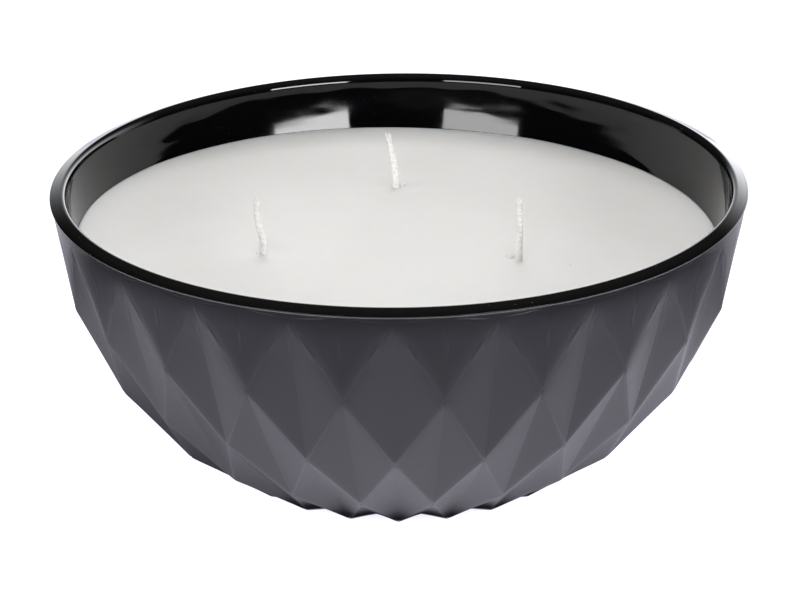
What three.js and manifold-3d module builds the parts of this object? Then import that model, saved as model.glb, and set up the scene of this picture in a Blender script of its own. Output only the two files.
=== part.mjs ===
// Three-wick container candle in a diamond-faceted bowl.
// Millimetres, +Z up, origin at the centre of the base plane, front towards -Y.
import * as THREE from 'three';
import { mergeVertices } from 'three/addons/utils/BufferGeometryUtils.js';
import Module from 'manifold-3d';

const wasm = await Module();
wasm.setup();

// ---- driving dimensions ----

const RIM_RADIUS = 85;
const GAP = 0.3;
const COLUMNS = 22;
const ROUND_SEGMENTS = 88;
const FRONT_ANGLE = -Math.PI / 2;

// The lattice's rows of corners from the base up: [radius, height]. Every second row
// is turned by half a column, so each diamond has a corner in three rows.
const BASE_VALLEY_ROW = [36.6, 0];
const BASE_POINT_ROW = [41.0, 0];
const BODY_TOP = 71.1;
const LATTICE_ROWS = [
  BASE_VALLEY_ROW,
  BASE_POINT_ROW,
  [59.8, 13.3],
  [72.7, 29.5],
  [81.4, 48.7],
  [84.2, 69.5],
  [84.6, BODY_TOP],
  [84.6, BODY_TOP],
];

const BASE_RECESS_RADIUS = 27;
const BASE_RECESS_DEPTH = 1.2;

const FLOOR_HEIGHT = 7;
const FLOOR_RADIUS = 44;
const INNER_WALL = [
  [FLOOR_RADIUS, FLOOR_HEIGHT], [48, 9.4], [52.8, 14], [60.6, 21.5], [66.4, 29.5], [71.6, 39],
  [75.0, 48.7], [76.9, 53.5], [78.4, 58.4], [79.8, 63.6], [80.5, 68], [80.7, 71.3],
];
const INNER_WALL_STEPS = 22;

// The rolled lip: outside foot, groove, dome, crest and the rounded inner shoulder.
const LIP_FOOT = [[79, 68.5], [83.6, 68.5], [84.6, 70.0], [84.8, 70.9]];
const LIP_GROOVE = [[84.6, 71.15], [84.3, 71.25], [84.35, 71.4]];
const LIP_DOME = [[84.85, 71.6], [85.0, 71.95], [84.7, 72.4], [83.7, 72.8], [82.3, 73.0]];
const LIP_SHOULDER = [[81.6, 72.8], [81.0, 72.3], [80.7, 71.6], [79, 71.3]];

const WAX_LEVEL = 58.4;
const WAX_TILT = THREE.MathUtils.degToRad(1.1);
const MENISCUS_RISE = 0.9;
const MENISCUS_WIDTH = 1.8;
const MENISCUS_RADII = [71, 74, 76, 77.4, 78.4];

const WICK_RADIUS = 0.87;
const WICK_SIDES = 10;
const WICK_STEPS = 16;
const FITTING_SEGMENTS = 24;
// Each wick: distance from the axis, angle, and the bend of its free end in X, by height.
const WICKS = {
  back: { radius: 33.9, angle: 92.5, bend: [[4, 0], [9, -0.9], [15.0, -2.1]] },
  left: { radius: 35.9, angle: 204.0, bend: [[4, 0.1], [9, -0.9], [15.4, -1.2]] },
  right: { radius: 33.0, angle: 332.2, bend: [[4, 0], [9, 0.1], [15.8, 0]] },
};

const STICKER_RADIUS = 5.5;
const STICKER_THICKNESS = 0.8;
const SUSTAINER_RADIUS = 6.25;
const SUSTAINER_THICKNESS = 0.5;
const NECK_RADIUS = 1.75;
const NECK_HEIGHT = 6;
const NECK_FOOT_RADIUS = 2.4;
const NECK_FOOT_HEIGHT = 0.8;

// Cutting shapes run past the part by this much below it, and up to this height above it.
const CUT_CLEARANCE = 1;
const CUT_HEIGHT = 85;

const WICK_BORE_RADIUS = WICK_RADIUS + GAP;
const STICKER_BOTTOM = FLOOR_HEIGHT + GAP;
const SUSTAINER_BOTTOM = STICKER_BOTTOM + STICKER_THICKNESS + GAP;
const SUSTAINER_TOP = SUSTAINER_BOTTOM + SUSTAINER_THICKNESS;
const NECK_TOP = SUSTAINER_BOTTOM + NECK_HEIGHT;

// ---- materials ----

function material(color, roughness, metalness) {
  return new THREE.MeshStandardMaterial({ color, roughness, metalness });
}

const satinLacquer = () => material(0x45454c, 0.45, 0);
const candleWax = () => material(0xe6e1d8, 0.55, 0);
const braidedCotton = () => material(0xf0ece2, 0.9, 0);
const tinPlate = () => material(0xb8babd, 0.35, 1);
const adhesiveFoam = () => material(0xd9d4c4, 0.8, 0);

// ---- solids ----

function toSolid(geometry) {
  const bare = geometry.index ? geometry.toNonIndexed() : geometry.clone();
  bare.deleteAttribute('normal');
  bare.deleteAttribute('uv');
  const merged = mergeVertices(bare);
  return new wasm.Manifold(new wasm.Mesh({
    numProp: 3,
    vertProperties: new Float32Array(merged.attributes.position.array),
    triVerts: new Uint32Array(merged.index.array),
  }));
}

function toGeometry(solid) {
  const mesh = solid.getMesh();
  const geometry = new THREE.BufferGeometry();
  geometry.setAttribute('position', new THREE.BufferAttribute(mesh.vertProperties, mesh.numProp));
  geometry.setIndex(new THREE.BufferAttribute(mesh.triVerts, 1));
  const flat = geometry.toNonIndexed();
  flat.computeVertexNormals();
  return flat;
}

// Turns a closed outline of [radius, height] points about Z. The outline runs so that
// the solid is on its left: out along the bottom, up the outside, back to the axis.
function revolve(outline, segments = ROUND_SEGMENTS) {
  const points = outline.map(([radius, height]) => new THREE.Vector2(radius, height));
  const geometry = new THREE.LatheGeometry(points, segments);
  return geometry.rotateX(Math.PI / 2);
}

function cylinder(radius, bottom, top, segments) {
  return revolve([[0, bottom], [radius, bottom], [radius, top], [0, top]], segments);
}

function namedMesh(name, geometry, meshMaterial) {
  const mesh = new THREE.Mesh(geometry, meshMaterial);
  mesh.name = name;
  return mesh;
}

// ---- the bowl ----

function latticeCorner(row, column) {
  const [radius, height] = LATTICE_ROWS[row];
  const halfStep = row % 2 === 0 ? 0.5 : 0;
  const angle = FRONT_ANGLE + ((column + halfStep) * 2 * Math.PI) / COLUMNS;
  return [radius * Math.cos(angle), radius * Math.sin(angle), height];
}

// Each diamond folds inwards along its upright diagonal: corner below, two beside, one above.
function latticeDiamond(row, column) {
  const turned = row % 2 === 0 ? 1 : 0;
  const below = latticeCorner(row, column);
  const above = latticeCorner(row + 2, column);
  const right = latticeCorner(row + 1, column + turned);
  const left = latticeCorner(row + 1, column + turned - 1);
  return [...below, ...right, ...above, ...below, ...above, ...left];
}

// One slice of the flat cap that closes the lattice where two rows lie at one height.
function latticeCap(turnedRow, straightRow, column, facesUp) {
  const height = LATTICE_ROWS[turnedRow][1];
  const centre = [0, 0, height];
  const first = latticeCorner(straightRow, column);
  const middle = latticeCorner(turnedRow, column);
  const last = latticeCorner(straightRow, column + 1);
  return facesUp
    ? [...centre, ...first, ...middle, ...centre, ...middle, ...last]
    : [...centre, ...middle, ...first, ...centre, ...last, ...middle];
}

function latticeBody() {
  const positions = [];
  const topRow = LATTICE_ROWS.length - 1;
  for (let column = 0; column < COLUMNS; column += 1) {
    for (let row = 0; row + 2 <= topRow; row += 1) {
      positions.push(...latticeDiamond(row, column));
    }
    positions.push(...latticeCap(0, 1, column, false));
    positions.push(...latticeCap(topRow - 1, topRow, column, true));
  }
  const geometry = new THREE.BufferGeometry();
  geometry.setAttribute('position', new THREE.Float32BufferAttribute(positions, 3));
  return geometry;
}

function lipRing() {
  const outline = [...LIP_FOOT, ...LIP_GROOVE, ...LIP_DOME, ...LIP_SHOULDER];
  return revolve([...outline, outline[0]]);
}

function innerWall() {
  const corners = INNER_WALL.map(([radius, height]) => new THREE.Vector2(radius, height));
  const curve = new THREE.SplineCurve(corners);
  return curve.getPoints(INNER_WALL_STEPS).map((point) => [point.x, point.y]);
}

function cavity() {
  const wall = innerWall();
  const [mouthRadius] = wall[wall.length - 1];
  return revolve([[0, FLOOR_HEIGHT], ...wall, [mouthRadius, CUT_HEIGHT], [0, CUT_HEIGHT]]);
}

function bowl() {
  const recess = cylinder(BASE_RECESS_RADIUS, -CUT_CLEARANCE, BASE_RECESS_DEPTH);
  const solid = toSolid(latticeBody())
    .add(toSolid(lipRing()))
    .subtract(toSolid(cavity()))
    .subtract(toSolid(recess));
  return namedMesh('bowl', toGeometry(solid), satinLacquer());
}

// ---- the wax ----

// The cavity's shape, drawn in by the gap, up to the mouth.
function waxBlock() {
  const wall = innerWall();
  const drawnIn = wall.map(([radius, height], index) => {
    const before = wall[Math.max(index - 1, 0)];
    const after = wall[Math.min(index + 1, wall.length - 1)];
    const normal = new THREE.Vector2(before[1] - after[1], after[0] - before[0]).normalize();
    return [radius + normal.x * GAP, height + normal.y * GAP];
  });
  const start = [FLOOR_RADIUS, FLOOR_HEIGHT + GAP];
  const above = drawnIn.filter(([radius, height]) => radius > start[0] && height > start[1]);
  const mouth = above[above.length - 1];
  return revolve([[0, start[1]], start, ...above, [0, mouth[1]]]);
}

// Everything below the wax's surface, which creeps up where it meets the wall and
// stands a little out of level.
function belowSurface() {
  const wallRadius = MENISCUS_RADII[MENISCUS_RADII.length - 1];
  const surface = MENISCUS_RADII.map((radius) => {
    const rise = MENISCUS_RISE * Math.exp((radius - wallRadius) / MENISCUS_WIDTH);
    return [radius, rise];
  }).reverse();
  const below = [[0, -RIM_RADIUS], [RIM_RADIUS, -RIM_RADIUS], [RIM_RADIUS, MENISCUS_RISE]];
  const outline = [...below, ...surface, [0, 0]];
  const geometry = revolve(outline);
  geometry.rotateY(WAX_TILT);
  return geometry.translate(0, 0, WAX_LEVEL);
}

// The room that a wick, its sustainer and its sticker take up in the wax.
function wickRoom(wick) {
  const outline = [
    [0, 0],
    [SUSTAINER_RADIUS + GAP, 0],
    [SUSTAINER_RADIUS + GAP, SUSTAINER_TOP + GAP],
    [NECK_FOOT_RADIUS + GAP, SUSTAINER_TOP + GAP],
    [NECK_FOOT_RADIUS + GAP, NECK_TOP + GAP],
    [WICK_BORE_RADIUS, NECK_TOP + GAP],
    [WICK_BORE_RADIUS, CUT_HEIGHT],
    [0, CUT_HEIGHT],
  ];
  const place = wickPlace(wick);
  return revolve(outline, FITTING_SEGMENTS).translate(place.x, place.y, 0);
}

function wax() {
  let solid = toSolid(waxBlock()).intersect(toSolid(belowSurface()));
  for (const wick of Object.values(WICKS)) {
    solid = solid.subtract(toSolid(wickRoom(wick)));
  }
  return namedMesh('wax_fill', toGeometry(solid), candleWax());
}

// ---- the wicks ----

function wickPlace({ radius, angle }) {
  const radians = THREE.MathUtils.degToRad(angle);
  return new THREE.Vector2(radius * Math.cos(radians), radius * Math.sin(radians));
}

function wickCurve(bend) {
  const free = bend.map(([height, offset]) => new THREE.Vector3(offset, 0, WAX_LEVEL + height));
  const foot = new THREE.Vector3(0, 0, SUSTAINER_TOP);
  const middle = new THREE.Vector3(0, 0, WAX_LEVEL / 2);
  const surface = new THREE.Vector3(0, 0, WAX_LEVEL);
  return new THREE.CatmullRomCurve3([foot, middle, surface, ...free]);
}

function wickMesh(name, wick) {
  const section = new THREE.Shape();
  section.absarc(0, 0, WICK_RADIUS, 0, 2 * Math.PI);
  const geometry = new THREE.ExtrudeGeometry(section, {
    steps: WICK_STEPS,
    curveSegments: WICK_SIDES,
    extrudePath: wickCurve(wick.bend),
  });
  return fittingMesh(`wick_${name}`, geometry, braidedCotton(), wick);
}

// A piece that stands on the wick's own place on the floor.
function fittingMesh(name, geometry, meshMaterial, wick) {
  const place = wickPlace(wick);
  const mesh = namedMesh(name, toGeometry(toSolid(geometry)), meshMaterial);
  mesh.position.set(place.x, place.y, 0);
  return mesh;
}

// A pressed disc with a crimped neck that grips the wick's foot.
function sustainerMesh(name, wick) {
  const outline = [
    [WICK_BORE_RADIUS, SUSTAINER_BOTTOM],
    [SUSTAINER_RADIUS, SUSTAINER_BOTTOM],
    [SUSTAINER_RADIUS, SUSTAINER_TOP],
    [NECK_FOOT_RADIUS, SUSTAINER_TOP],
    [NECK_RADIUS, SUSTAINER_TOP + NECK_FOOT_HEIGHT],
    [NECK_RADIUS, NECK_TOP],
    [WICK_BORE_RADIUS, NECK_TOP],
    [WICK_BORE_RADIUS, SUSTAINER_BOTTOM],
  ];
  return fittingMesh(`sustainer_${name}`, revolve(outline, FITTING_SEGMENTS), tinPlate(), wick);
}

function stickerMesh(name, wick) {
  const top = STICKER_BOTTOM + STICKER_THICKNESS;
  const disc = cylinder(STICKER_RADIUS, STICKER_BOTTOM, top, FITTING_SEGMENTS);
  return fittingMesh(`sticker_${name}`, disc, adhesiveFoam(), wick);
}

// ---- the candle ----

const candle = new THREE.Group();
candle.add(bowl());
candle.add(wax());
for (const [name, wick] of Object.entries(WICKS)) {
  candle.add(wickMesh(name, wick));
  candle.add(sustainerMesh(name, wick));
  candle.add(stickerMesh(name, wick));
}

export default candle;
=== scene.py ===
"""Looks for a three-wick container candle in a diamond-faceted bowl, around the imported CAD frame.

Metres, +Z up, origin at the centre of the base plane, front towards -Y. Sizes are named in
millimetres and turned into metres where a mesh is made.
"""
import math
import random

import bmesh
import bpy
import numpy as np
from mathutils import Matrix, Vector, noise


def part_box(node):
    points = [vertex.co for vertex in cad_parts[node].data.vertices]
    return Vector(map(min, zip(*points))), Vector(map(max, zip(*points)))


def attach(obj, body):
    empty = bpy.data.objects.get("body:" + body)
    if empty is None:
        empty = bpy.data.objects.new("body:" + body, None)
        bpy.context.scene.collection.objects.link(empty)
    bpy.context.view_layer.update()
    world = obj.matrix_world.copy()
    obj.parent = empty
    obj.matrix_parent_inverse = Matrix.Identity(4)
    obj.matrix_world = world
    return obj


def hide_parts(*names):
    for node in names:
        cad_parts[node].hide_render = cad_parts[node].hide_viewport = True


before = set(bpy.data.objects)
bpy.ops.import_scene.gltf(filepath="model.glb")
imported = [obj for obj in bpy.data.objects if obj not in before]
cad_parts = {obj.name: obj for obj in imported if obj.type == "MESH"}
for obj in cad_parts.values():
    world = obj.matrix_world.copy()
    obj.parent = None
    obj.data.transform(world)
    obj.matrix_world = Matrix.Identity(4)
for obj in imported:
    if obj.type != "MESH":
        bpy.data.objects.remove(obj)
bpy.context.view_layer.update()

MM = 0.001
RIM_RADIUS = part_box("bowl")[1].x / MM

# ---- the bowl's driving dimensions, in millimetres ----

COLUMNS = 22
COLUMN_ANGLE = 2 * math.pi / COLUMNS
FRONT_ANGLE = -math.pi / 2

# Rows of corners from the base up: (radius, height). Every second row is turned half a column. The
# last two lie at one level, so that the top edge is even.
LATTICE_ROWS = [
    (36.6, 0),
    (41.0, 0),
    (59.8, 13.3),
    (72.7, 29.5),
    (81.4, 48.7),
    (84.2, 69.5),
    (84.55, 70.6),
    (84.55, 70.6),
]
# Between these heights the facets run out into a round band, of this radius at BAND_HEIGHT.
BAND_START, BAND_END = 61.0, 70.0
BAND_RADIUS, BAND_SLOPE, BAND_HEIGHT = 84.3, 0.1, 69.5

# Each facet's grid: its steps along a side, and how strongly they crowd towards the sides.
PATCH_STEPS = 10
PATCH_SPREAD = 2.5
# How far the rounding of a crease reaches to each side. The upper reaches hold from UPPER_ROW up.
RIDGE_REACH = 0.32
UPPER_RIDGE_REACH = 1.8
FOLD_REACH = 2.6
UPPER_FOLD_REACH = 7.0
UPPER_ROW = 4
# How far a facet's middle stands out, and one over the product of the three weights there.
FACET_CROWN = 0.12
MIDDLE_SCALE = 27
LEVEL_TOLERANCE = 1e-6

# The satin body's rolled top edge, then the gloss: groove, lip dome, shoulder and inner wall.
BODY_EDGE = [
    (84.42, 70.7),
    (84.42, 70.77),
    (84.39, 70.84),
    (84.32, 70.88),
    (84.2, 70.92),
    (84.2, 71.02),
]
LIP = [
    (84.25, 71.06),
    (84.6, 71.1),
    (84.87, 71.22),
    (85.0, 71.46),
    (84.86, 71.62),
    (84.35, 71.82),
    (83.7, 72.08),
    (83.0, 72.34),
    (82.5, 72.52),
    (82.07, 72.6),
    (81.6, 72.48),
    (81.2, 72.08),
    (80.95, 71.5),
    (80.8, 70.9),
    (80.72, 70.2),
]
INNER_WALL = [
    (44, 7),
    (48, 9.4),
    (52.8, 14),
    (60.6, 21.5),
    (66.4, 29.5),
    (71.6, 39),
    (75.0, 48.7),
    (76.9, 53.5),
    (78.44, 58.4),
    (79.3, 62.0),
    (79.79, 64.4),
    (80.18, 66.5),
    (80.55, 68.8),
    (80.72, 70.2),
]
# The inner wall's slow waves: how deep they are, their share low down, the heights between which
# they grow and fade, how finely they run round the circle, and how tall they are.
WALL_WAVE = 0.035
LOW_WAVE_SHARE = 0.12
WAVE_START, WAVE_END = 62.5, 65.5
WAVE_FADE_START, WAVE_FADE_END = 67.5, 70.2
WAVE_FINENESS = 9
WAVE_TALLNESS = 4
# The underside from the standing ring's inner edge to the recess, and the ring's rounded outer edge.
BASE_RINGS = [(29.0, 0), (27.7, 0.1), (27.1, 0.5), (26.7, 1.05), (26.0, 1.2), (13.0, 1.2)]
BASE_EDGE = 0.35

# ---- the bowl's painted highlights and sheen, and its smoothness, in millimetres and shares ----

# Each ridge carries a painted highlight, a paler colour, this far to each side. It fades with height
# between the low limits, grows with distance from the middle between the side limits, and ends
# between the top limits.
HIGHLIGHT_REACH = 0.22
HIGHLIGHT_LOW = (28, 52)
HIGHLIGHT_SIDE = (48, 76)
HIGHLIGHT_TOP = (60, 66)
LEAST_HIGHLIGHT, SIDE_HIGHLIGHT = 0.2, 0.8
# Above this height the body's top edge is painted pale grey, a painted highlight line under the lip.
# The vertex attribute has this value there, and 0 to 1 along the ridges' painted highlights.
EDGE_HIGHLIGHT_HEIGHT = 70.8
EDGE_HIGHLIGHT = 2.0
# The lacquer is a little smoother towards the top, and the black glass is painted lighter towards
# the lip's top, a painted sheen.
SMOOTH_START, SMOOTH_END = 56, 70
SMOOTH_SHARE = 0.92
LIP_SHEEN_START, LIP_SHEEN_END = 71.2, 72.2

# ---- the wax and the wicks, in millimetres ----

WAX_LEVEL = 58.4
WAX_TILT = math.radians(1.1)
# The surface's edge and the side below it keep these gaps to the wall.
WAX_GAP, SIDE_GAP = 0.05, 0.3
WAX_BOTTOM = 7.3
SIDE_HEIGHTS = (56, 52, 46, 38, 30, 22, 15, 10, WAX_BOTTOM)
MENISCUS_RISE = 0.35
MENISCUS_WIDTH = 1.8
WAX_COLUMNS = 480
# How far apart the surface's rings are, by their share of the way out: finest at the wicks.
RING_SHARES = [
    (0.0, 0.02),
    (0.36, 0.016),
    (0.4, 0.006),
    (0.48, 0.006),
    (0.54, 0.014),
    (0.9, 0.012),
    (1.0, 0.003),
]
FIRST_RING = 0.01
# The surface's slow unevenness: its height, its width, and which slice of the noise it is.
UNEVEN_HEIGHT, UNEVEN_WIDTH, UNEVEN_SLICE = 0.12, 24, 3.1
# Each wick has a dimple, set back behind it, and a small collar of wax round its foot.
DIMPLE_RADIUS = 8.5
DIMPLE_DEPTH = 0.6
DIMPLE_SETBACK = 5.0
COLLAR_HEIGHT = 0.25
COLLAR_REACH = 0.7
# Loose wax on the surface: the wick it lies near, how far from it in X and Y, and its half width.
CRUMBS = [
    ("back", 1.9, 0.9, 0.42),
    ("back", 2.4, 1.9, 0.26),
    ("back", 1.6, 3.2, 0.34),
    ("back", 2.1, 4.3, 0.2),
    ("right", -2.0, 2.0, 0.8),
    ("right", -1.3, 3.3, 0.4),
    ("right", -2.9, 3.4, 0.28),
    ("right", 12.3, -3.1, 0.22),
    ("left", -4.7, 58.6, 0.24),
    ("left", -1.5, 1.3, 0.24),
]
# A crumb's roughness and grain, and how flat it is and how high it stands for its size.
CRUMB_ROUGHNESS, CRUMB_GRAIN = 0.35, 1.6
CRUMB_FLATNESS, CRUMB_RISE = 0.75, 0.35

WICK_FOOT = 8.9
# Wax has climbed up the wicks to the first height, and none is left above the second. The waxed
# foot is also painted paler and the dry tip dimmer, as painted light.
WAXED_LIT_TOP, DRY_DIM_START = 61, 70
# Each wick: distance from the axis, angle in degrees, and the bend of its free end in X by height.
WICKS = {
    "back": (33.9, 92.5, [(4, 0), (9, -0.9), (15.0, -2.1)]),
    "left": (35.9, 204.0, [(4, 0.1), (9, -0.9), (15.4, -1.2)]),
    "right": (33.0, 332.2, [(4, 0), (9, 0.1), (15.8, 0)]),
}
STRANDS = 6
STRAND_RADIUS = 0.4
STRAND_ORBIT = 0.43
STRAND_WEAVE = 0.1
STRAND_SIDES = 7
WEAVES_PER_TURN = 3
CORE_RADIUS = 0.7
BRAID_PITCH = 4.2
BRAID_STEP = 0.35
# A strand ends fewer than this many steps short of the tip, at this share of its size, and is this
# much fuller with each step down.
END_SPREAD = 3
END_SHARE, END_GROWTH = 0.35, 0.4

# ---- the studio, in millimetres ----

# The dark card on the floor is painted shade that only reflections show. Its hole round the bowl and
# the patch under the bowl are ovals, each given by its centre before it is widened along X, and by
# where its edge starts and ends to fade. The hole opens out at the back between the OPEN limits. The
# card is darkest at the foot, as painted shade under the bowl, and the floor has its own painted
# contact shadow there.
HOLE_PLACE = (1, -30)
HOLE_START, HOLE_END = 98, 152
HOLE_WIDENED = 1.2
OPEN_START, OPEN_END = 40, 130
UNDER_PLACE = (-12, 20)
UNDER_START, UNDER_END = 52, 78
UNDER_WIDENED = 1.4
UNDER_SHADE = 0.87
FOOT_SHADE_START, FOOT_SHADE_END = 42, 47
CONTACT_SHADOW_START, CONTACT_SHADOW_END = 20, 44
CARD_REACH, CARD_HEIGHT = 3000, 1

FLOOR_REACH = 6000
FLOOR_GLOW = 1.33
BACKDROP_SIDES, BACKDROP_RADIUS, BACKDROP_HEIGHT = 96, 5000, 6000
BACKDROP_GLOW = 1.15

# Each soft box: azimuth and elevation in degrees, distance, width and height in metres, radiance,
# and whether the bowl mirrors it. Azimuth 0 is the front, and 90 the right side.
SOFT_BOXES = {
    "front_right": (33.5, 7.2, 1.6, 0.8, 0.25, 15, True),
    "front_left": (-29.6, 7.2, 1.6, 0.8, 0.25, 9, True),
    "side_right": (65, 14, 1.6, 0.8, 0.46, 11, False),
    "side_left": (-65, 14, 1.6, 0.8, 0.46, 13, False),
    "far_fill": (180, 58, 3.0, 2.4, 2.4, 3.2, False),
    "near_fill": (0, 55, 0.5, 0.3, 0.3, 3.6, False),
}

# The studio's pale glow: where it comes from, how its strength grows towards there and falls with
# height, each as (low, high, start, end), and its colour.
GLOW_DIRECTION = (0.45, 0.89, 0)
GLOW_TOWARDS = (0.5, 1, 0, 3.5)
GLOW_FALL = (0.1, 0.5, 1, 0)
GLOW_COLOUR = (0.95, 0.97, 1.0, 1)

# ---- the camera, in rim radii and degrees, its lens and sensor in millimetres ----

CAMERA_DISTANCE = 9.785
CAMERA_HEIGHT = 4.457
CAMERA_AZIMUTH = 1.17
CAMERA_PITCH = 22.10
CAMERA_ROLL = -0.54
CAMERA_LENS = 163.4
CAMERA_SENSOR = 36


# ---- helpers ----


def mesh_object(name, vertices, faces, materials, slots=None):
    """A smooth-shaded object from millimetre vertices, with one material index for each face."""
    mesh = bpy.data.meshes.new(name)
    mesh.from_pydata([tuple(c * MM for c in v) for v in vertices], [], faces)
    for made in materials:
        mesh.materials.append(made)
    if slots is not None:
        mesh.polygons.foreach_set("material_index", slots)
    mesh.polygons.foreach_set("use_smooth", [True] * len(faces))
    mesh.update()
    piece = bpy.data.objects.new(name, mesh)
    bpy.context.scene.collection.objects.link(piece)
    return piece


def smooth_curve(points, steps):
    """Points along a uniform Catmull-Rom curve, with this many steps in each span."""
    points = np.array(points, float)
    last = len(points) - 1
    out = []
    for i in range(last):
        a, b = points[max(i - 1, 0)], points[i]
        c, d = points[i + 1], points[min(i + 2, last)]
        for t in np.arange(steps) / steps:
            v0, v1 = (c - a) / 2, (d - b) / 2
            out.append(
                (2 * b - 2 * c + v0 + v1) * t**3
                + (-3 * b + 3 * c - 2 * v0 - v1) * t**2
                + v0 * t
                + b
            )
    out.append(points[last])
    return np.array(out)


def smoothstep(low, high, value):
    t = np.clip((value - low) / (high - low), 0, 1)
    return t * t * (3 - 2 * t)


def set_range(node, low, high, start, end):
    """Makes a Map Range node turn low to high into start to end."""
    for name, value in zip(("From Min", "From Max", "To Min", "To Max"), (low, high, start, end)):
        node.inputs[name].default_value = value


# ---- materials ----


class Nodes:
    """A material's node tree with short calls for the nodes that the materials here share."""

    def __init__(self, name):
        self.material = bpy.data.materials.new(name)
        self.material.use_nodes = True
        self.tree = self.material.node_tree
        self.shader = self.tree.nodes["Principled BSDF"]
        self.position = self.tree.nodes.new("ShaderNodeTexCoord").outputs["Object"]

    def set(self, **values):
        for name, value in values.items():
            self.shader.inputs[name.replace("_", " ")].default_value = value

    def link(self, output, name):
        self.tree.links.new(output, self.shader.inputs[name])

    def noise(self, scale, detail, roughness=0.55, stretch=None):
        node = self.tree.nodes.new("ShaderNodeTexNoise")
        node.inputs["Scale"].default_value = scale
        node.inputs["Detail"].default_value = detail
        node.inputs["Roughness"].default_value = roughness
        self.tree.links.new(self.stretched(stretch), node.inputs["Vector"])
        return node.outputs["Fac"]

    def stretched(self, stretch):
        if stretch is None:
            return self.position
        node = self.tree.nodes.new("ShaderNodeMapping")
        node.inputs["Scale"].default_value = stretch
        self.tree.links.new(self.position, node.inputs["Vector"])
        return node.outputs["Vector"]

    def cells(self, scale):
        node = self.tree.nodes.new("ShaderNodeTexVoronoi")
        node.inputs["Scale"].default_value = scale
        self.tree.links.new(self.position, node.inputs["Vector"])
        return node.outputs["Distance"]

    def distance(self, centre, widened=1.0):
        """How far each point lies from a centre, in metres, on ovals that are wider along X."""
        node = self.tree.nodes.new("ShaderNodeVectorMath")
        node.operation = "DISTANCE"
        node.inputs[1].default_value = centre
        self.tree.links.new(self.stretched((1 / widened, 1, 1)), node.inputs[0])
        return node.outputs["Value"]

    def axis(self, letter):
        node = self.tree.nodes.new("ShaderNodeSeparateXYZ")
        self.tree.links.new(self.position, node.inputs[0])
        return node.outputs[letter]

    def attribute(self, name):
        node = self.tree.nodes.new("ShaderNodeAttribute")
        node.attribute_name = name
        return node.outputs["Fac"]

    def ramp(self, fac, low, high, start=0.0, end=1.0):
        """fac from low to high becomes start to end."""
        node = self.tree.nodes.new("ShaderNodeMapRange")
        set_range(node, low, high, start, end)
        self.tree.links.new(fac, node.inputs["Value"])
        return node.outputs["Result"]

    def mix(self, fac, first, second):
        """A colour between first and second, each a colour or another node's output."""
        node = self.tree.nodes.new("ShaderNodeMix")
        node.data_type = "RGBA"
        self.tree.links.new(fac, node.inputs["Factor"])
        for value, socket in ((first, node.inputs[6]), (second, node.inputs[7])):
            if isinstance(value, tuple):
                socket.default_value = (*value, 1)
            else:
                self.tree.links.new(value, socket)
        return node.outputs[2]

    def maths(self, operation, first, second):
        node = self.tree.nodes.new("ShaderNodeMath")
        node.operation = operation
        self.tree.links.new(first, node.inputs[0])
        self.tree.links.new(second, node.inputs[1])
        return node.outputs[0]

    def add(self, first, second):
        return self.maths("ADD", first, second)

    def multiply(self, first, second):
        return self.maths("MULTIPLY", first, second)

    def bump(self, height, distance):
        node = self.tree.nodes.new("ShaderNodeBump")
        node.inputs["Distance"].default_value = distance * MM
        self.tree.links.new(height, node.inputs["Height"])
        self.link(node.outputs["Normal"], "Normal")


def satin_lacquer():
    """Sprayed dark lacquer with fine grain and cloudy sheen, painted paler along the ridges and pale
    grey along the top edge as painted highlights.
    """
    nodes = Nodes("satin_lacquer")
    cloud = nodes.noise(45, 4)
    grain = nodes.noise(2600, 2)
    body = nodes.mix(nodes.ramp(cloud, 0.35, 0.65), (0.0050, 0.0046, 0.0068), (0.0070, 0.0065, 0.0092))
    highlit = nodes.attribute("painted_highlight")
    # Paler colour along the ridges: a painted highlight, its share kept in the vertex attribute.
    ridge_lit = nodes.mix(nodes.ramp(highlit, 0, 1), body, (0.036, 0.035, 0.04))
    # A pale grey top edge: a painted highlight line.
    edged = nodes.mix(nodes.ramp(highlit, 1, EDGE_HIGHLIGHT), ridge_lit, (0.2, 0.2, 0.21))
    nodes.link(edged, "Base Color")
    spread = nodes.ramp(nodes.add(cloud, grain), 0.7, 1.3, 0.32, 0.42)
    smoothed = nodes.ramp(nodes.axis("Z"), SMOOTH_START * MM, SMOOTH_END * MM, 1, SMOOTH_SHARE)
    nodes.link(nodes.multiply(spread, smoothed), "Roughness")
    nodes.bump(grain, 0.008)
    return nodes.material


def gloss_black():
    """Bare black glass with faint smears and dust, painted lighter towards the lip's top as a painted
    sheen.
    """
    nodes = Nodes("gloss_black")
    smear = nodes.noise(60, 5, 0.6, (1, 1, 3))
    dust = nodes.ramp(nodes.cells(520), 0.035, 0.05, 1, 0)
    # Lighter towards the lip's top: a painted sheen.
    lip_sheen = nodes.ramp(nodes.axis("Z"), LIP_SHEEN_START * MM, LIP_SHEEN_END * MM, 0, 1)
    glass = nodes.mix(lip_sheen, (0.0014, 0.0013, 0.0016), (0.0062, 0.0061, 0.0059))
    nodes.link(nodes.mix(dust, glass, (0.1, 0.1, 0.1)), "Base Color")
    nodes.link(nodes.ramp(smear, 0.4, 0.75, 0.03, 0.1), "Roughness")
    return nodes.material


def candle_wax(name, scatter):
    """Pale wax with a soft sheen, slow mottling and a few fine specks."""
    nodes = Nodes(name)
    mottle = nodes.noise(26, 4)
    fine = nodes.noise(700, 3)
    specks = nodes.ramp(nodes.cells(260), 0.02, 0.035, 1, 0)
    body = nodes.mix(nodes.ramp(mottle, 0.35, 0.65), (0.79, 0.775, 0.755), (0.82, 0.81, 0.795))
    nodes.link(nodes.mix(specks, body, (0.62, 0.6, 0.56)), "Base Color")
    nodes.link(nodes.ramp(mottle, 0.3, 0.7, 0.4, 0.52), "Roughness")
    nodes.set(Subsurface_Weight=scatter, Subsurface_Radius=(1.0, 0.85, 0.7), Subsurface_Scale=0.004)
    nodes.bump(nodes.add(mottle, fine), 0.02)
    return nodes.material


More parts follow.
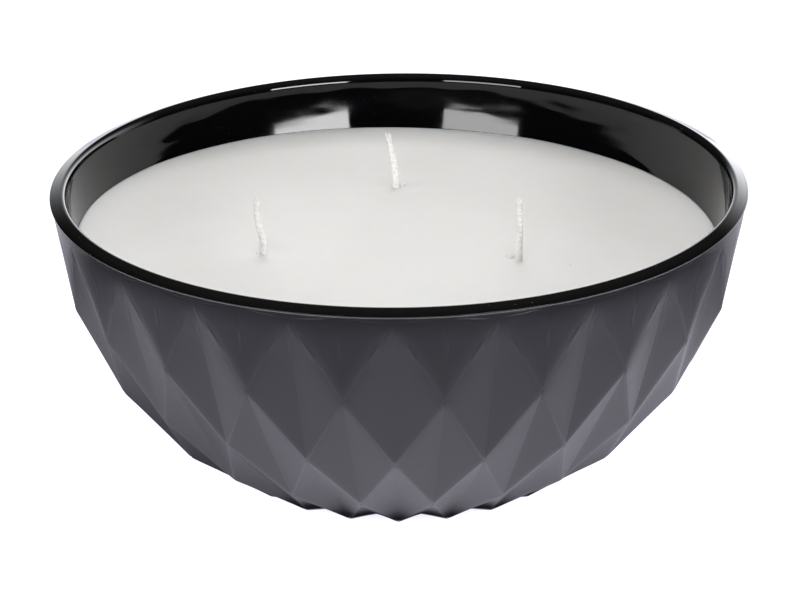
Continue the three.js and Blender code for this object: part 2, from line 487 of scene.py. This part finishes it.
def wick_cotton():
    """Braided cotton with fibres along the strands, wax-soaked low down and dry at the tip; its foot
    is painted paler and its tip dimmer, as painted light.
    """
    nodes = Nodes("wick_cotton")
    fibre = nodes.noise(2400, 4, 0.6, (1, 1, 0.25))
    threads = nodes.ramp(fibre, 0.3, 0.7)
    # The waxed foot's paler colour and the dry tip's dimmer one are partly painted light.
    dry_dim = nodes.mix(threads, (0.58, 0.57, 0.545), (0.66, 0.65, 0.625))
    waxed_lit = nodes.mix(threads, (0.77, 0.76, 0.735), (0.84, 0.835, 0.815))
    rise = nodes.ramp(nodes.axis("Z"), WAXED_LIT_TOP * MM, DRY_DIM_START * MM)
    nodes.link(nodes.mix(rise, waxed_lit, dry_dim), "Base Color")
    nodes.link(nodes.ramp(fibre, 0.3, 0.7, 0.6, 0.85), "Roughness")
    nodes.set(Sheen_Weight=0.3)
    nodes.bump(fibre, 0.05)
    return nodes.material


def tin_plate():
    """Thin tinned sheet with rolling lines and dull patches."""
    nodes = Nodes("tin_plate")
    lines = nodes.noise(900, 3, 0.6, (1, 14, 1))
    patches = nodes.noise(180, 4)
    colour = nodes.mix(nodes.ramp(patches, 0.35, 0.7), (0.66, 0.67, 0.68), (0.52, 0.52, 0.52))
    nodes.link(colour, "Base Color")
    nodes.link(nodes.ramp(nodes.add(lines, patches), 0.7, 1.3, 0.24, 0.46), "Roughness")
    nodes.set(Metallic=1.0)
    nodes.bump(lines, 0.01)
    return nodes.material


def adhesive_foam():
    """A pale foam dot with small cells."""
    nodes = Nodes("adhesive_foam")
    cells = nodes.cells(2200)
    colour = nodes.mix(nodes.ramp(cells, 0.1, 0.6), (0.6, 0.57, 0.5), (0.76, 0.74, 0.67))
    nodes.link(colour, "Base Color")
    nodes.set(Roughness=0.85)
    nodes.bump(cells, 0.06)
    return nodes.material


def pale_floor():
    """A white light table with the faintest mottling, whose glow fades out where the bowl stands: a
    painted contact shadow.
    """
    nodes = Nodes("pale_floor")
    nodes.link(nodes.mix(nodes.noise(9, 3), (0.87, 0.85, 0.99), (0.89, 0.87, 1)), "Emission Color")
    reach = nodes.distance((0, 0, 0))
    # The glow fades out near the foot: a painted contact shadow.
    glow = nodes.ramp(reach, CONTACT_SHADOW_START * MM, CONTACT_SHADOW_END * MM, 0.0, FLOOR_GLOW)
    nodes.link(glow, "Emission Strength")
    nodes.set(Roughness=0.8, Base_Color=(0.15, 0.15, 0.15, 1))
    return nodes.material


def pale_wall():
    """A white that glows evenly and takes no light."""
    nodes = Nodes("pale_wall")
    nodes.link(nodes.mix(nodes.noise(0.6, 2), (0.9, 0.9, 0.9), (0.93, 0.93, 0.93)), "Emission Color")
    nodes.set(Emission_Strength=BACKDROP_GLOW, Base_Color=(0, 0, 0, 1))
    return nodes.material


def mirrored_shade():
    """Painted shade for reflections: near black outside the hole and under the bowl, and clear between
    them and at the back.
    """
    nodes = Nodes("mirrored_shade")
    outer = nodes.distance((*[c * MM for c in HOLE_PLACE], 0), HOLE_WIDENED)
    inner = nodes.distance((*[c * MM for c in UNDER_PLACE], 0), UNDER_WIDENED)
    # Darkest at the foot and under the bowl: painted shade under the bowl in the mirrored floor.
    foot = nodes.ramp(nodes.distance((0, 0, 0)), FOOT_SHADE_START * MM, FOOT_SHADE_END * MM, 1, 0)
    far = nodes.ramp(outer, HOLE_START * MM, HOLE_END * MM, 0, 1)
    front = nodes.ramp(nodes.axis("Y"), OPEN_START * MM, OPEN_END * MM, 1, 0)
    under = nodes.ramp(inner, UNDER_START * MM, UNDER_END * MM, UNDER_SHADE, 0)
    nodes.link(nodes.add(nodes.add(nodes.multiply(far, front), under), foot), "Alpha")
    nodes.set(Base_Color=(0.02, 0.02, 0.02, 1), Roughness=0.9)
    return nodes.material


# ---- the bowl ----


def corner_place(row, column):
    radius, height = LATTICE_ROWS[row]
    turned = 0.5 if row % 2 == 0 else 0.0
    angle = FRONT_ANGLE + (column + turned) * COLUMN_ANGLE
    return np.array([radius * math.cos(angle), radius * math.sin(angle), height])


def lattice_facets():
    """The diamonds' halves, each as three corners (row, column): below, beside and above in turn."""
    facets = []
    for row in range(len(LATTICE_ROWS) - 2):
        turned = 1 if row % 2 == 0 else 0
        for column in range(COLUMNS):
            below, above = (row, column), (row + 2, column)
            right = (row + 1, (column + turned) % COLUMNS)
            left = (row + 1, (column + turned - 1) % COLUMNS)
            facets.append((below, right, above))
            facets.append((below, above, left))
    return facets


def facet_normal(facet):
    a, b, c = (corner_place(*corner) for corner in facet)
    normal = np.cross(b - a, c - a)
    return normal / np.linalg.norm(normal)


def is_upright(first, second):
    """An edge between corners two rows apart runs upwards and is a soft fold, not a ridge."""
    return abs(first[0] - second[0]) == 2


def crease_reach(first, second):
    """How far a crease's rounding reaches to each side: ridges are crisp, upright folds soft."""
    is_upper = min(first[0], second[0]) >= UPPER_ROW
    if is_upright(first, second):
        return UPPER_FOLD_REACH if is_upper else FOLD_REACH
    return UPPER_RIDGE_REACH if is_upper else RIDGE_REACH


def lattice_creases(facets):
    """Each inner edge's (start, end, direction to move, reach, whether it is an upright fold)."""
    sides = {}
    for facet in facets:
        for i in range(3):
            sides.setdefault(frozenset((facet[i], facet[(i + 1) % 3])), []).append(facet)
    creases = {}
    for edge, pair in sides.items():
        if len(pair) != 2:
            continue
        first, second = sorted(edge)
        normals = [facet_normal(facet) for facet in pair]
        middles = [sum(corner_place(*corner) for corner in facet) / 3 for facet in pair]
        outwards = normals[0] + normals[1]
        outwards /= np.linalg.norm(outwards)
        slope = math.tan(math.acos(min(1.0, float(normals[0] @ outwards))))
        stands_out = (middles[1] - middles[0]) @ normals[0] < 0
        push = -slope if stands_out else slope
        creases[edge] = (
            corner_place(*first),
            corner_place(*second),
            outwards * push,
            crease_reach(first, second),
            is_upright(first, second),
        )
    return creases


def patch_weights():
    """Weights of a triangle's three corners on a grid that is finest along its sides."""
    weights = {}
    for i in range(PATCH_STEPS + 1):
        for j in range(PATCH_STEPS + 1 - i):
            steps = np.array([i, j, PATCH_STEPS - i - j]) / PATCH_STEPS
            eased = steps**PATCH_SPREAD
            weights[i, j] = eased / eased.sum()
    return weights


def patch_faces():
    faces = []
    for i in range(PATCH_STEPS):
        for j in range(PATCH_STEPS - i):
            faces.append(((i, j), (i + 1, j), (i, j + 1)))
            if i + j < PATCH_STEPS - 1:
                faces.append(((i + 1, j), (i + 1, j + 1), (i, j + 1)))
    return faces


def rounded(points, creases):
    """The points moved by every crease within reach, and how near a ridge each one is, which sets its
    painted highlight.
    """
    moved = points.copy()
    painted_highlight = np.zeros(len(points))
    for start, end, push, reach, is_fold in creases:
        along = end - start
        t = np.clip((points - start) @ along / (along @ along), 0, 1)
        apart = np.linalg.norm(points - start - t[:, None] * along, axis=1)
        fade = np.sqrt(np.clip(4 * t * (1 - t), 0, 1)) if is_fold else 1.0
        amount = np.clip(reach - apart, 0, None) ** 2 / (2 * reach) * fade
        moved += amount[:, None] * push
        if not is_fold:
            painted_highlight = np.maximum(painted_highlight, np.clip(1 - apart / HIGHLIGHT_REACH, 0, 1))
    return moved, painted_highlight


def into_band(points):
    """Under the lip the facets run out into a plain round band."""
    radius = np.hypot(points[:, 0], points[:, 1])
    band = BAND_RADIUS + (points[:, 2] - BAND_HEIGHT) * BAND_SLOPE
    share = smoothstep(BAND_START, BAND_END, points[:, 2])
    scale = 1 + share * (band / radius - 1)
    return points * np.stack([scale, scale, np.ones_like(scale)], axis=1)


def ridge_highlight(place):
    """How strong a ridge's painted highlight is: most low down, a little less at the sides, none at
    the top.
    """
    low = 1 - smoothstep(*HIGHLIGHT_LOW, place[2])
    side = smoothstep(*HIGHLIGHT_SIDE, abs(place[0]))
    below_top = 1 - smoothstep(*HIGHLIGHT_TOP, place[2])
    return max(LEAST_HIGHLIGHT, float(low), float(side) * SIDE_HIGHLIGHT) * float(below_top)


class Shell:
    """The bowl's mesh as it grows: vertices, faces, each face's material, each vertex's painted
    highlight share.
    """

    def __init__(self):
        self.vertices, self.faces, self.slots, self.painted_highlight = [], [], [], []
        self.found = {}

    def vertex(self, key, place, painted_highlight=0.0):
        if key not in self.found:
            self.found[key] = len(self.vertices)
            self.vertices.append(tuple(place))
            self.painted_highlight.append(float(painted_highlight))
        return self.found[key]

    def ring(self, places, painted_highlight=0.0):
        start = len(self.vertices)
        self.vertices.extend(tuple(p) for p in places)
        self.painted_highlight.extend([painted_highlight] * len(places))
        return list(range(start, start + len(places)))

    def bridge(self, lower, upper, slot):
        """Quads from one ring to the next, facing out where upper lies above lower outside."""
        count = len(lower)
        for i in range(count):
            j = (i + 1) % count
            self.faces.append((lower[i], lower[j], upper[j], upper[i]))
            self.slots.append(slot)

    def cap(self, ring, centre, slot):
        middle = self.ring([centre])[0]
        for i, first in enumerate(ring):
            self.faces.append((first, ring[(i + 1) % len(ring)], middle))
            self.slots.append(slot)


def add_lattice(shell):
    """The faceted outside. Gives the rings of vertices along its foot and along its top."""
    facets = lattice_facets()
    creases = lattice_creases(facets)
    weights = patch_weights()
    faces = patch_faces()
    grid = list(weights)
    table = np.array([weights[key] for key in grid])
    foot, top = {}, {}
    for facet in facets:
        corners = np.array([corner_place(*corner) for corner in facet])
        near = [crease for edge, crease in creases.items() if edge & set(facet)]
        flat = table @ corners
        crown = FACET_CROWN * MIDDLE_SCALE * table.prod(axis=1)
        moved, painted_highlight = rounded(flat, near)
        free = 1 - smoothstep(BAND_START, BAND_END, flat[:, 2])
        moved = flat + free[:, None] * (moved - flat + crown[:, None] * facet_normal(facet))
        moved = into_band(moved)
        names = {}
        for key, start, place, sharp in zip(grid, flat, moved, painted_highlight):
            mark = tuple(np.round(start, 3) + 0.0)
            # Each vertex keeps its share of the ridges' painted highlight.
            names[key] = shell.vertex(mark, place, sharp * ridge_highlight(place))
            if start[2] < LEVEL_TOLERANCE:
                foot[names[key]] = math.atan2(place[1], place[0])
            if start[2] > LATTICE_ROWS[-1][1] - LEVEL_TOLERANCE:
                top[names[key]] = math.atan2(place[1], place[0])
        for face in faces:
            shell.faces.append(tuple(names[key] for key in face))
            shell.slots.append(0)
    return [sorted(side, key=side.get) for side in (foot, top)]


def round_ring(shell, radius, height, count, start_angle, wave=0.0, painted_highlight=0.0):
    """A level ring. A wave makes its radius wander slowly, as pressed glass does."""
    places = []
    for i in range(count):
        angle = start_angle + 2 * math.pi * i / count
        x, y = math.cos(angle), math.sin(angle)
        wander = noise.noise(Vector((WAVE_FINENESS * x, WAVE_FINENESS * y, height / WAVE_TALLNESS)))
        reach = radius + wave * wander
        places.append((reach * x, reach * y, height))
    return shell.ring(places, painted_highlight)


def level_edge(shell, ring, inset, height):
    """A copy of a ring, drawn in towards the axis and laid at one height."""
    places = []
    for name in ring:
        x, y, _ = shell.vertices[name]
        scale = 1 - inset / math.hypot(x, y)
        places.append((x * scale, y * scale, height))
    return shell.ring(places)


def add_base(shell, foot):
    """The flat ring that the bowl stands on, and the shallow recess inside it."""
    for name in foot:
        x, y, _ = shell.vertices[name]
        shell.vertices[name] = (x, y, BASE_EDGE)
    start_angle = math.atan2(*reversed(shell.vertices[foot[0]][:2]))
    upper = foot
    lower = level_edge(shell, foot, BASE_EDGE, 0)
    shell.bridge(lower, upper, 0)
    for radius, height in BASE_RINGS:
        upper, lower = lower, round_ring(shell, radius, height, len(foot), start_angle)
        shell.bridge(lower, upper, 0)
    shell.cap(list(reversed(lower)), (0, 0, BASE_RINGS[-1][1]), 0)


def wall_wave(height):
    """Pressed glass is waviest near the mouth, and true again at the lip."""
    rising = smoothstep(WAVE_START, WAVE_END, height)
    share = LOW_WAVE_SHARE + (1 - LOW_WAVE_SHARE) * rising
    return float(WALL_WAVE * share * (1 - smoothstep(WAVE_FADE_START, WAVE_FADE_END, height)))


def add_lip_and_inside(shell, top):
    """Up over the rolled lip, down the inner wall and across the floor."""
    start_angle = math.atan2(*reversed(shell.vertices[top[0]][:2]))
    lower = top
    for radius, height in BODY_EDGE:
        # Above a height the body's top edge takes a painted highlight line.
        edge_line = EDGE_HIGHLIGHT if height > EDGE_HIGHLIGHT_HEIGHT else 0.0
        upper = round_ring(shell, radius, height, len(top), start_angle, painted_highlight=edge_line)
        shell.bridge(lower, upper, 0)
        lower = upper
    wall = smooth_curve(INNER_WALL, steps=3)[::-1]
    outline = [(r, z, 0.0) for r, z in smooth_curve(LIP, steps=4)]
    outline += [(r, z, wall_wave(z)) for r, z in wall[1:]]
    for radius, height, wave in outline:
        upper = round_ring(shell, radius, height, len(top), start_angle, wave)
        shell.bridge(lower, upper, 1)
        lower = upper
    shell.cap(lower, (0, 0, INNER_WALL[0][1]), 1)


def make_bowl():
    shell = Shell()
    foot, top = add_lattice(shell)
    add_base(shell, foot)
    add_lip_and_inside(shell, top)
    finishes = [satin_lacquer(), gloss_black()]
    bowl = mesh_object("bowl_shell", shell.vertices, shell.faces, finishes, shell.slots)
    painted_highlight = bowl.data.attributes.new("painted_highlight", "FLOAT", "POINT")
    painted_highlight.data.foreach_set("value", shell.painted_highlight)
    return bowl


# ---- the wax ----


WALL_CURVE = smooth_curve(INNER_WALL, steps=8)


def wall_radius(height):
    return float(np.interp(height, WALL_CURVE[:, 1], WALL_CURVE[:, 0]))


def wick_place(radius, degrees):
    angle = math.radians(degrees)
    return radius * math.cos(angle), radius * math.sin(angle)


def wax_height(x, y, edge):
    """The surface: tilted a little, slowly uneven, dimpled at the wicks, creeping up the wall."""
    height = WAX_LEVEL - x * math.sin(WAX_TILT)
    height += MENISCUS_RISE * math.exp((math.hypot(x, y) - edge) / MENISCUS_WIDTH)
    height += UNEVEN_HEIGHT * noise.noise(Vector((x / UNEVEN_WIDTH, y / UNEVEN_WIDTH, UNEVEN_SLICE)))
    for radius, degrees, _ in WICKS.values():
        wx, wy = wick_place(radius, degrees)
        apart = math.hypot(x - wx, y - wy - DIMPLE_SETBACK) / DIMPLE_RADIUS
        if apart < 1:
            height -= DIMPLE_DEPTH * (1 - apart**2) ** 2
        height += COLLAR_HEIGHT * math.exp(-math.hypot(x - wx, y - wy) / COLLAR_REACH)
    return height


def wax_edge(angle):
    """Where the tilted surface meets the wall in this direction: (angle, radius)."""
    fall = wall_radius(WAX_LEVEL) * math.cos(angle) * math.sin(WAX_TILT)
    return angle, wall_radius(WAX_LEVEL + MENISCUS_RISE - fall) - WAX_GAP


def ring_shares():
    """Each ring's share of the way from the axis to the wall."""
    shares = [FIRST_RING]
    while shares[-1] < 1:
        shares.append(shares[-1] + float(np.interp(shares[-1], *zip(*RING_SHARES))))
    return [share / shares[-1] for share in shares]


def make_wax():
    """The whole fill: its surface, its side just off the wall and its flat bottom."""
    shell = Shell()
    shares = ring_shares()
    outline = [wax_edge(2 * math.pi * i / WAX_COLUMNS) for i in range(WAX_COLUMNS)]
    surface = []
    for share in shares:
        places = []
        for angle, edge in outline:
            x, y = share * edge * math.cos(angle), share * edge * math.sin(angle)
            places.append((x, y, wax_height(x, y, edge)))
        surface.append(shell.ring(places))
    shell.cap(surface[0], (0, 0, wax_height(0, 0, wall_radius(WAX_LEVEL))), 0)
    for inner, outer in zip(surface, surface[1:]):
        shell.bridge(outer, inner, 0)
    upper = surface[-1]
    for height in SIDE_HEIGHTS:
        lower = round_ring(shell, wall_radius(height) - SIDE_GAP, height, WAX_COLUMNS, 0)
        shell.bridge(lower, upper, 0)
        upper = lower
    shell.cap(list(reversed(upper)), (0, 0, WAX_BOTTOM), 0)
    finish = candle_wax("candle_wax", scatter=0.45)
    return mesh_object("wax", shell.vertices, shell.faces, [finish], shell.slots)


def make_crumbs():
    """The nub and the crumbs of wax left round the wicks, each a small lump sunk into the surface."""
    finish = candle_wax("crumb_wax", scatter=0)
    body = bmesh.new()
    for near, dx, dy, size in CRUMBS:
        x, y = wick_place(*WICKS[near][:2])
        x, y = x + dx, y + dy
        angle = math.atan2(y, x)
        height = wax_height(x, y, wax_edge(angle)[1])
        made = bmesh.ops.create_icosphere(body, subdivisions=3, radius=1)["verts"]
        for vertex in made:
            lump = noise.noise(vertex.co * CRUMB_GRAIN + Vector((x, y, 0)))
            rough = 1 + CRUMB_ROUGHNESS * lump
            place = Vector((vertex.co.x, vertex.co.y, CRUMB_FLATNESS * vertex.co.z)) * rough * size
            vertex.co = (place + Vector((x, y, height + CRUMB_RISE * size))) * MM
    mesh = bpy.data.meshes.new("wax_crumbs")
    body.to_mesh(mesh)
    body.free()
    mesh.materials.append(finish)
    mesh.polygons.foreach_set("use_smooth", [True] * len(mesh.polygons))
    piece = bpy.data.objects.new("wax_crumbs", mesh)
    bpy.context.scene.collection.objects.link(piece)
    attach(piece, "root")


# ---- the wicks ----


def wick_path(name):
    """The wick's middle line, finely stepped, from its foot in the sustainer to its tip."""
    radius, degrees, bend = WICKS[name]
    x, y = wick_place(radius, degrees)
    points = [(x, y, WICK_FOOT), (x, y, WAX_LEVEL / 2), (x, y, WAX_LEVEL)]
    points += [(x + offset, y, WAX_LEVEL + rise) for rise, offset in bend]
    fine = smooth_curve(points, steps=40)
    lengths = np.concatenate([[0], np.cumsum(np.linalg.norm(np.diff(fine, axis=0), axis=1))])
    steps = np.arange(0, lengths[-1], BRAID_STEP)
    return np.stack([np.interp(steps, lengths, fine[:, axis]) for axis in range(3)], axis=1)


def make_wick(name, finish):
    """Strands wound both ways round a core, passing over and under each other."""
    draw = random.Random(f"wick {name}")
    path = wick_path(name)
    vertices, faces = [], []
    for strand in range(STRANDS + 1):
        is_core = strand == STRANDS
        turn = 1 if strand % 2 == 0 else -1
        phase = 2 * math.pi * strand / STRANDS
        count = len(path) - draw.randrange(0, END_SPREAD)
        first = len(vertices)
        for i in range(count):
            angle = phase + turn * 2 * math.pi * i * BRAID_STEP / BRAID_PITCH
            weave = turn * STRAND_WEAVE * math.sin(WEAVES_PER_TURN * angle)
            orbit = 0 if is_core else STRAND_ORBIT + weave
            end = min(1.0, END_SHARE + (count - 1 - i) * END_GROWTH)
            centre = path[i] + np.array([orbit * math.cos(angle), orbit * math.sin(angle), 0])
            for side in range(STRAND_SIDES):
                around = 2 * math.pi * side / STRAND_SIDES
                size = (CORE_RADIUS if is_core else STRAND_RADIUS) * end
                vertices.append(centre + size * np.array([math.cos(around), math.sin(around), 0]))
        for i in range(count - 1):
            for side in range(STRAND_SIDES):
                a = first + i * STRAND_SIDES + side
                b = first + i * STRAND_SIDES + (side + 1) % STRAND_SIDES
                faces.append((a, b, b + STRAND_SIDES, a + STRAND_SIDES))
        last = first + (count - 1) * STRAND_SIDES
        faces.append(tuple(last + side for side in range(STRAND_SIDES)))
        faces.append(tuple(first + side for side in reversed(range(STRAND_SIDES))))
    return mesh_object(f"wick_braid_{name}", vertices, faces, [finish])


# ---- the whole scene ----


def make_camera():
    """A long lens at the photograph's viewing angle, aimed by its turn, pitch and roll."""
    turn = math.radians(CAMERA_AZIMUTH)
    pitch = math.radians(CAMERA_PITCH)
    roll = math.radians(CAMERA_ROLL)
    level = Vector((-math.sin(turn), math.cos(turn), 0))
    right = Vector((math.cos(turn), math.sin(turn), 0))
    forward = level * math.cos(pitch) - Vector((0, 0, math.sin(pitch)))
    up = right.cross(forward)
    rolled_right = right * math.cos(roll) + up * math.sin(roll)
    rolled_up = up * math.cos(roll) - right * math.sin(roll)
    camera = bpy.data.objects.new("camera", bpy.data.cameras.new("camera"))
    camera.data.lens = CAMERA_LENS
    camera.data.sensor_width = CAMERA_SENSOR
    turned = Matrix((rolled_right, rolled_up, -forward)).transposed().to_4x4()
    place = (Vector((0, 0, CAMERA_HEIGHT)) - level * CAMERA_DISTANCE) * RIM_RADIUS * MM
    camera.matrix_world = Matrix.Translation(place) @ turned
    bpy.context.scene.collection.objects.link(camera)
    bpy.context.scene.camera = camera


def soft_box(name, azimuth, elevation, distance, width, height, radiance, mirrored):
    """An area light that faces the candle."""
    light = bpy.data.lights.new(name, "AREA")
    light.shape = "RECTANGLE"
    light.size, light.size_y = width, height
    light.energy = radiance * math.pi * width * height
    holder = bpy.data.objects.new(name, light)
    a, e = math.radians(azimuth), math.radians(elevation)
    out = Vector((math.sin(a) * math.cos(e), -math.cos(a) * math.cos(e), math.sin(e)))
    holder.location = out * distance + Vector((0, 0, WAX_LEVEL * MM))
    holder.rotation_mode = "QUATERNION"
    holder.rotation_quaternion = out.to_track_quat("Z", "Y")
    holder.visible_camera = False
    holder.visible_glossy = mirrored
    bpy.context.scene.collection.objects.link(holder)


def make_lights():
    """Two low soft boxes in front, and four boxes and fills that nothing mirrors."""
    for name, values in SOFT_BOXES.items():
        soft_box(name, *values)


def make_world():
    """A dark studio that is pale only along the horizon behind and to the right of the candle."""
    world = bpy.data.worlds.new("studio")
    world.use_nodes = True
    tree = world.node_tree
    toward = tree.nodes.new("ShaderNodeTexCoord").outputs["Generated"]
    behind = tree.nodes.new("ShaderNodeVectorMath")
    behind.operation = "DOT_PRODUCT"
    behind.inputs[1].default_value = GLOW_DIRECTION
    height = tree.nodes.new("ShaderNodeSeparateXYZ")
    for node in (behind, height):
        tree.links.new(toward, node.inputs[0])
    shares = []
    for output, limits in ((behind.outputs["Value"], GLOW_TOWARDS), (height.outputs["Z"], GLOW_FALL)):
        node = tree.nodes.new("ShaderNodeMapRange")
        node.interpolation_type = "SMOOTHSTEP"
        set_range(node, *limits)
        tree.links.new(output, node.inputs["Value"])
        shares.append(node.outputs["Result"])
    both = tree.nodes.new("ShaderNodeMath")
    both.operation = "MULTIPLY"
    for share, socket in zip(shares, both.inputs):
        tree.links.new(share, socket)
    tree.links.new(both.outputs[0], tree.nodes["Background"].inputs["Strength"])
    tree.nodes["Background"].inputs["Color"].default_value = GLOW_COLOUR
    bpy.context.scene.world = world
    bpy.context.scene.view_settings.view_transform = "Standard"


def level_square(name, reach, height, finish):
    """A level sheet whose sides lie this far from the axis."""
    corners = [(x * reach, y * reach, height) for x, y in ((-1, -1), (1, -1), (1, 1), (-1, 1))]
    return mesh_object(name, corners, [(0, 1, 2, 3)], [finish])


def make_floor():
    level_square("floor", FLOOR_REACH, 0, pale_floor())


def make_backdrop():
    """A pale wall all round, far behind, that lights nothing."""
    count = BACKDROP_SIDES
    turns = np.arange(count) * 2 * math.pi / count
    places = [(BACKDROP_RADIUS * math.cos(t), BACKDROP_RADIUS * math.sin(t)) for t in turns]
    vertices = [(x, y, z) for z in (0, BACKDROP_HEIGHT) for x, y in places]
    faces = [(i, (i + 1) % count, (i + 1) % count + count, i + count) for i in range(count)]
    wall = mesh_object("backdrop", vertices, faces, [pale_wall()])
    wall.visible_diffuse = wall.visible_glossy = wall.visible_shadow = False


def make_mirrored_shade_card():
    """A dark card on the floor with a soft-edged hole round the bowl: painted shade that only
    reflections show.
    """
    card = level_square("mirrored_shade_card", CARD_REACH, CARD_HEIGHT, mirrored_shade())
    card.visible_camera = card.visible_diffuse = card.visible_shadow = False


def stand_in(piece, slot, *nodes):
    """Puts a piece in the place of its CAD nodes."""
    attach(piece, "root")
    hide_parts(*nodes)


def repaint(node, finish):
    """Gives a CAD object a better material and leaves its shape alone."""
    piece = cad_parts[node]
    piece.data.materials.clear()
    piece.data.materials.append(finish)


make_camera()
make_lights()
make_world()
make_floor()
make_backdrop()
make_mirrored_shade_card()
stand_in(make_bowl(), "lacquered_glass", "bowl")
stand_in(make_wax(), "candle_wax", "wax_fill")
make_crumbs()
cotton, tin, foam = wick_cotton(), tin_plate(), adhesive_foam()
for place_name in WICKS:
    wick = make_wick(place_name, cotton)
    # The wicks stand near the wall's focus, where their mirror images would spread across it.
    wick.visible_glossy = False
    stand_in(wick, "wick_cotton", f"wick_{place_name}")
    repaint(f"sustainer_{place_name}", tin)
    repaint(f"sticker_{place_name}", foam)
